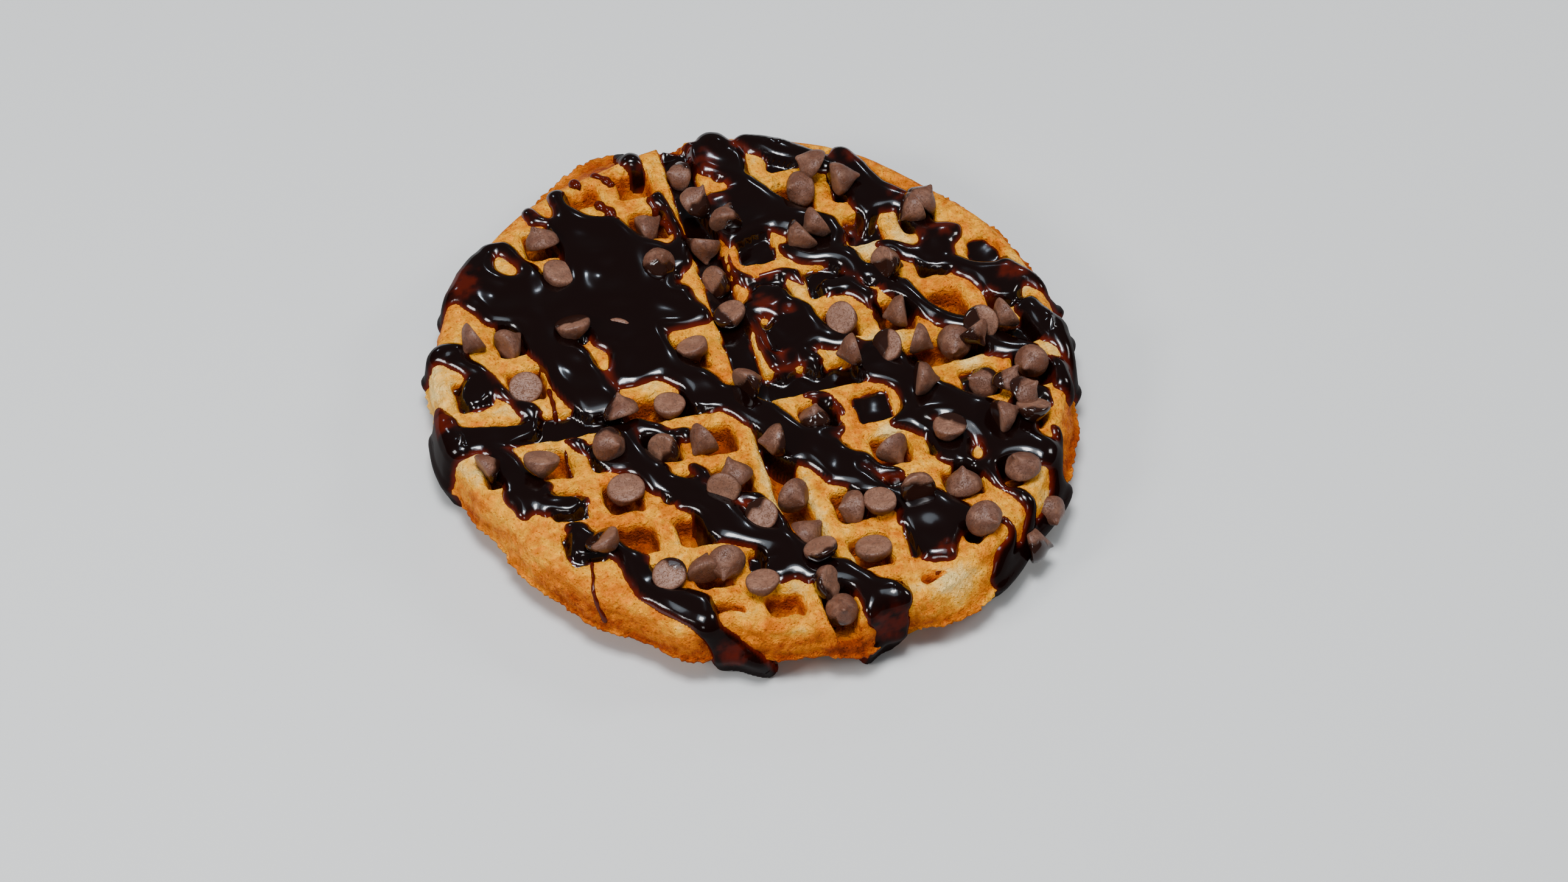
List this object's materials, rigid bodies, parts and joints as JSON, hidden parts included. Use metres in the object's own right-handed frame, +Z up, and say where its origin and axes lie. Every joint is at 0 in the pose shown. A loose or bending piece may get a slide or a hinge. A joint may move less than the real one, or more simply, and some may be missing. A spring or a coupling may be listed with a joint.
{
  "type": "round waffle",
  "caption": "Round thick waffle in four grooved quarters with square pockets, thick chocolate sauce and chocolate chips on top, as one solid.",
  "frame": {"origin": "bottom centre of the waffle's bounding box, on the plane that it lies on", "axes": "+Z up through the waffle's thickness, +X along the groove between the front and rear quarters, +Y towards the rear quarters, away from the picture's camera"},
  "size_m": [0.1822, 0.1884, 0.0304],
  "materials": {
    "waffle": "baked golden crust, matt"
  },
  "bodies": {
    "root": {"waffle": "waffle"}
  },
  "joints": []
}
